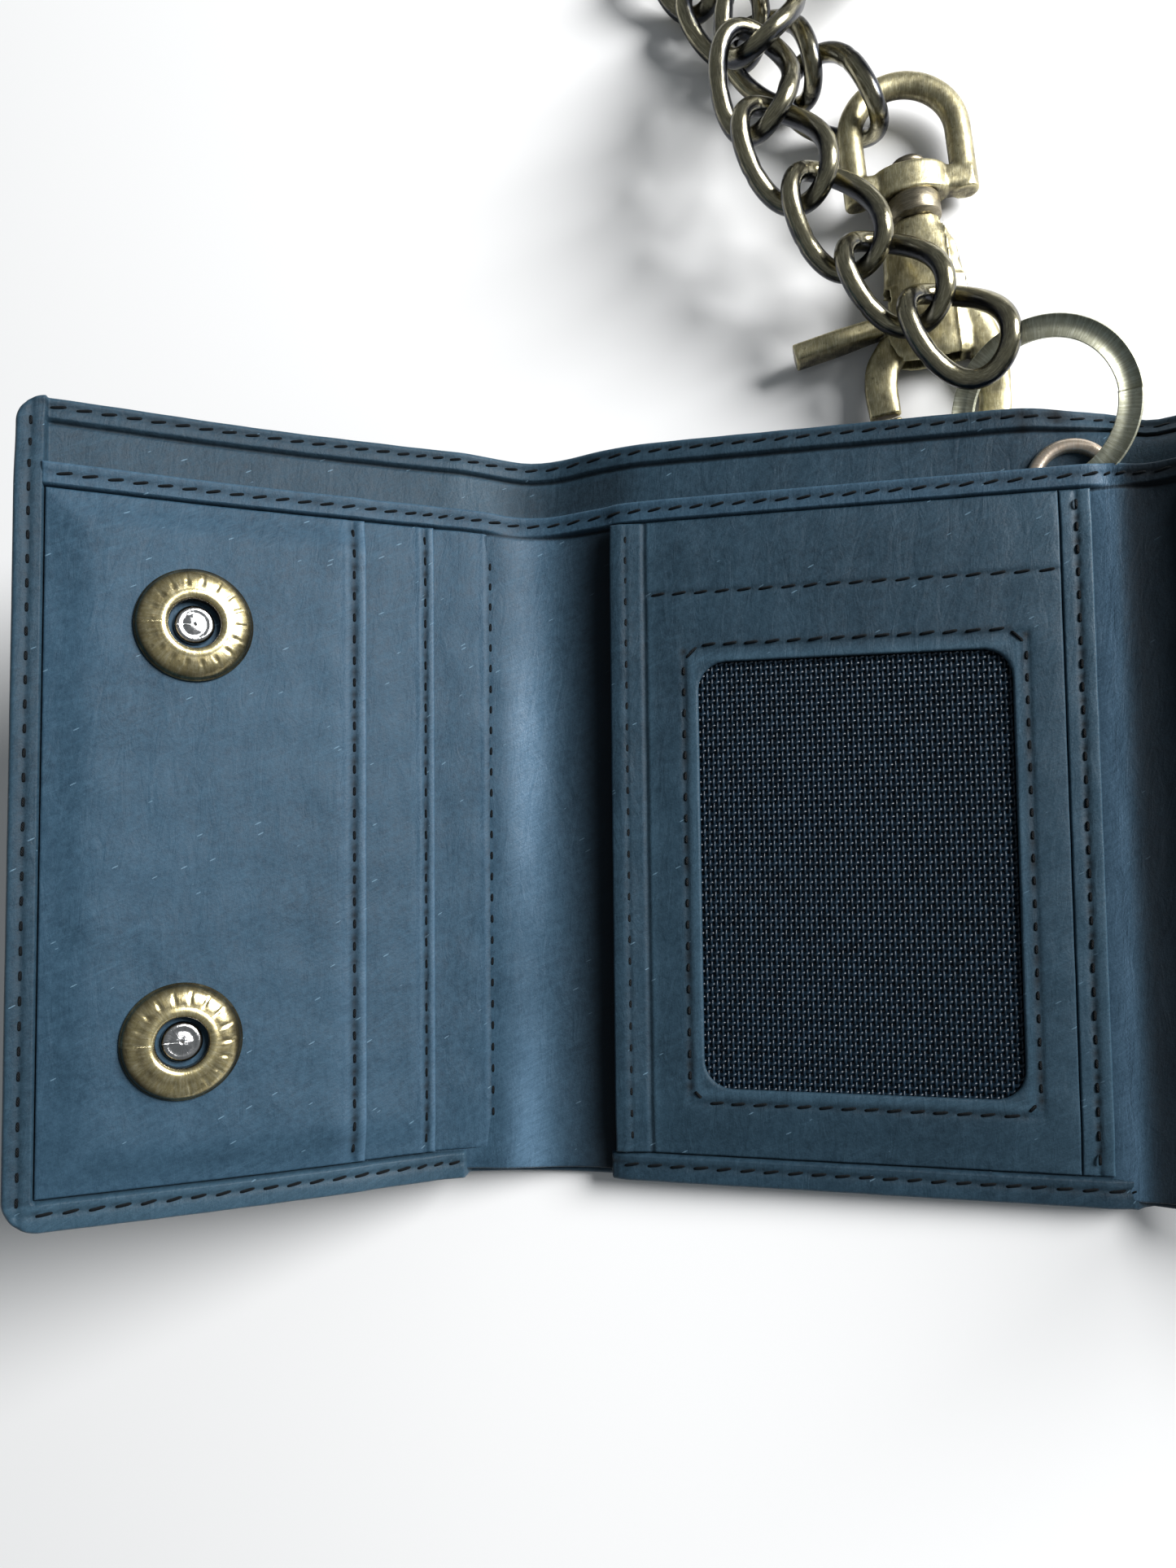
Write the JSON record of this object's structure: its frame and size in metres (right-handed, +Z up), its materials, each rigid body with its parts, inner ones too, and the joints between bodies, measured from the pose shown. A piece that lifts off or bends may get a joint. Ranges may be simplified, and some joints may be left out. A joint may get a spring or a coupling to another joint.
{
  "type": "chain wallet",
  "caption": "Trifold leather wallet, open, with snap closure, mesh ID window, back eyelet with split key ring, and a curb chain ending in a swivel trigger clasp.",
  "frame": {"origin": "centre of the bounding box in X and Y, on the surface the open wallet and its chain lie on", "axes": "+X to the wallet's right, +Y towards the wallet's top edge and the chain, +Z up off the surface"},
  "size_m": [0.213, 0.2335, 0.0492],
  "materials": {
    "cover_leather": "matte oiled, scuffed",
    "inner_leather": "matte oiled, scuffed",
    "lining_cloth": "matte woven",
    "window_mesh": "woven, slight sheen",
    "waxed_thread": "matte waxed",
    "eyelet_metal": "satin copper nickel",
    "antique_brass": "antiqued, dark in the hollows",
    "nickel_steel": "polished, worn",
    "brushed_brass": "brushed",
    "chain_brass": "antiqued, dark in the hollows",
    "pin_steel": "worn"
  },
  "bodies": {
    "centre_panel": {"cover_centre": "cover_leather", "lining_centre": "lining_cloth", "inner_wall_centre": "inner_leather", "id_pocket": "inner_leather", "id_window_mesh": "window_mesh", "divider_strip": "inner_leather", "eyelet": "eyelet_metal", "eyelet_washer": "eyelet_metal", "cover_fold_left": "cover_leather", "cover_fold_right": "cover_leather", "inner_fold_left": "inner_leather", "inner_fold_right": "inner_leather", "stitching_centre": "waxed_thread"},
    "left_flap": {"cover_left": "cover_leather", "lining_left": "lining_cloth", "inner_wall_left": "inner_leather", "card_pocket_back": "inner_leather", "card_pocket_middle": "inner_leather", "card_pocket_front": "inner_leather", "snap_sockets": "antique_brass", "snap_posts": "nickel_steel", "stitching_left": "waxed_thread"},
    "right_flap": {"cover_right": "cover_leather", "lining_right": "lining_cloth", "inner_wall_right": "inner_leather", "right_pocket_back": "inner_leather", "right_pocket_middle": "inner_leather", "right_pocket_front": "inner_leather", "snap_studs": "antique_brass", "stud_rivets": "nickel_steel", "stitching_right": "waxed_thread"},
    "ring": {"key_ring": "brushed_brass"},
    "link_01": {"chain_link_01": "chain_brass"},
    "link_02": {"chain_link_02": "chain_brass"},
    "link_03": {"chain_link_03": "chain_brass"},
    "link_04": {"chain_link_04": "chain_brass"},
    "link_05": {"chain_link_05": "chain_brass"},
    "link_06": {"chain_link_06": "chain_brass"},
    "link_07": {"chain_link_07": "chain_brass"},
    "link_08": {"chain_link_08": "chain_brass"},
    "link_09": {"chain_link_09": "chain_brass"},
    "link_10": {"chain_link_10": "chain_brass"},
    "link_11": {"chain_link_11": "chain_brass"},
    "link_12": {"chain_link_12": "chain_brass"},
    "link_13": {"chain_link_13": "chain_brass"},
    "link_14": {"chain_link_14": "chain_brass"},
    "link_15": {"chain_link_15": "chain_brass"},
    "link_16": {"chain_link_16": "chain_brass"},
    "link_17": {"chain_link_17": "chain_brass"},
    "link_18": {"chain_link_18": "chain_brass"},
    "link_19": {"chain_link_19": "chain_brass"},
    "loop": {"swivel_loop": "antique_brass"},
    "clasp": {"clasp_hook": "antique_brass", "swivel_rivet": "pin_steel", "gate_pin": "pin_steel", "gate_spring": "pin_steel"},
    "gate": {"gate_lever": "antique_brass"}
  },
  "joints": [
    {"name": "left_fold", "type": "hinge", "parent": "centre_panel", "child": "left_flap", "pos_m": [-0.04925, -0.061, 0.01535], "axis": [0, 0.9978, 0.0663], "range_deg": [-36, 144], "deforming": ["cover_fold_left", "inner_fold_left"]},
    {"name": "right_fold", "type": "hinge", "parent": "centre_panel", "child": "right_flap", "pos_m": [0.0371, -0.06067, 0.01036], "axis": [0, -0.9978, -0.0663], "range_deg": [-30, 150], "deforming": ["cover_fold_right", "inner_fold_right"]},
    {"name": "ring_swing", "type": "hinge", "parent": "centre_panel", "child": "ring", "pos_m": [0.03032, -0.01731, 0.00643], "axis": [0, -0.0663, 0.9978], "range_deg": [-4, 4]},
    {"name": "link_01_bend", "type": "hinge", "parent": "ring", "child": "link_01", "pos_m": [0.02002, 0.00005, 0.0122], "axis": [0, 0, -1], "range_deg": [-3, 3]},
    {"name": "link_02_bend", "type": "hinge", "parent": "link_01", "child": "link_02", "pos_m": [0.01194, 0.00934, 0.0107], "axis": [0, 0, 1], "range_deg": [-5, 5]},
    {"name": "link_03_bend", "type": "hinge", "parent": "link_02", "child": "link_03", "pos_m": [0.00333, 0.01826, 0.0109], "axis": [0, 0, -1], "range_deg": [-5, 5]},
    {"name": "link_04_bend", "type": "hinge", "parent": "link_03", "child": "link_04", "pos_m": [-0.00391, 0.02787, 0.0139], "axis": [0, 0, 1], "range_deg": [-5, 5]},
    {"name": "link_05_bend", "type": "hinge", "parent": "link_04", "child": "link_05", "pos_m": [-0.01044, 0.03833, 0.0152], "axis": [0, 0, -1], "range_deg": [-5, 5]},
    {"name": "link_06_bend", "type": "hinge", "parent": "link_05", "child": "link_06", "pos_m": [-0.01195, 0.05063, 0.0152], "axis": [0, 0, 1], "range_deg": [-5, 5]},
    {"name": "link_07_bend", "type": "hinge", "parent": "link_06", "child": "link_07", "pos_m": [-0.00896, 0.06263, 0.0143], "axis": [0, 0, -1], "range_deg": [-5, 5]},
    {"name": "link_08_bend", "type": "hinge", "parent": "link_07", "child": "link_08", "pos_m": [0.00008, 0.07077, 0.0119], "axis": [0, 0, 1], "range_deg": [-5, 5]},
    {"name": "link_09_bend", "type": "hinge", "parent": "link_08", "child": "link_09", "pos_m": [0.00991, 0.07766, 0.0088], "axis": [0, 0, -1], "range_deg": [-5, 5]},
    {"name": "link_10_bend", "type": "hinge", "parent": "link_09", "child": "link_10", "pos_m": [0.01424, 0.08894, 0.006], "axis": [0, 0, 1], "range_deg": [-5, 5]},
    {"name": "link_11_bend", "type": "hinge", "parent": "link_10", "child": "link_11", "pos_m": [0.01148, 0.1009, 0.0043], "axis": [0, 0, -1], "range_deg": [-5, 5]},
    {"name": "link_12_bend", "type": "hinge", "parent": "link_11", "child": "link_12", "pos_m": [0.00227, 0.1092, 0.0038], "axis": [0, 0, 1], "range_deg": [-5, 5]},
    {"name": "link_13_bend", "type": "hinge", "parent": "link_12", "child": "link_13", "pos_m": [-0.01004, 0.11071, 0.0038], "axis": [0, 0, -1], "range_deg": [-5, 5]},
    {"name": "link_14_bend", "type": "hinge", "parent": "link_13", "child": "link_14", "pos_m": [-0.02098, 0.10489, 0.0038], "axis": [0, 0, 1], "range_deg": [-5, 5]},
    {"name": "link_15_bend", "type": "hinge", "parent": "link_14", "child": "link_15", "pos_m": [-0.02661, 0.09384, 0.0038], "axis": [0, 0, -1], "range_deg": [-5, 5]},
    {"name": "link_16_bend", "type": "hinge", "parent": "link_15", "child": "link_16", "pos_m": [-0.0251, 0.08153, 0.0038], "axis": [0, 0, 1], "range_deg": [-5, 5]},
    {"name": "link_17_bend", "type": "hinge", "parent": "link_16", "child": "link_17", "pos_m": [-0.01967, 0.07038, 0.0039], "axis": [0, 0, -1], "range_deg": [-5, 5]},
    {"name": "link_18_bend", "type": "hinge", "parent": "link_17", "child": "link_18", "pos_m": [-0.01275, 0.06013, 0.0047], "axis": [0, 0, 1], "range_deg": [-5, 5]},
    {"name": "link_19_bend", "type": "hinge", "parent": "link_18", "child": "link_19", "pos_m": [-0.00447, 0.05093, 0.0055], "axis": [0, 0, -1], "range_deg": [-5, 5]},
    {"name": "loop_swing", "type": "hinge", "parent": "link_19", "child": "loop", "pos_m": [0.00502, 0.04297, 0.0062], "axis": [0, 0, 1], "range_deg": [-4, 4]},
    {"name": "clasp_swivel", "type": "hinge", "parent": "loop", "child": "clasp", "pos_m": [0.01084, 0.032, 0.00399], "axis": [-0.0958, 0.9944, 0.0436], "range_deg": [-4, 4]},
    {"name": "gate_open", "type": "hinge", "parent": "clasp", "child": "gate", "pos_m": [0.01326, 0.01206, 0.00311], "axis": [0.0042, -0.0434, 0.999], "range_deg": [0, 20], "stiffness_Nm_per_rad": 0.02, "springref_deg": -5.73, "deforming": ["gate_spring"]}
  ]
}
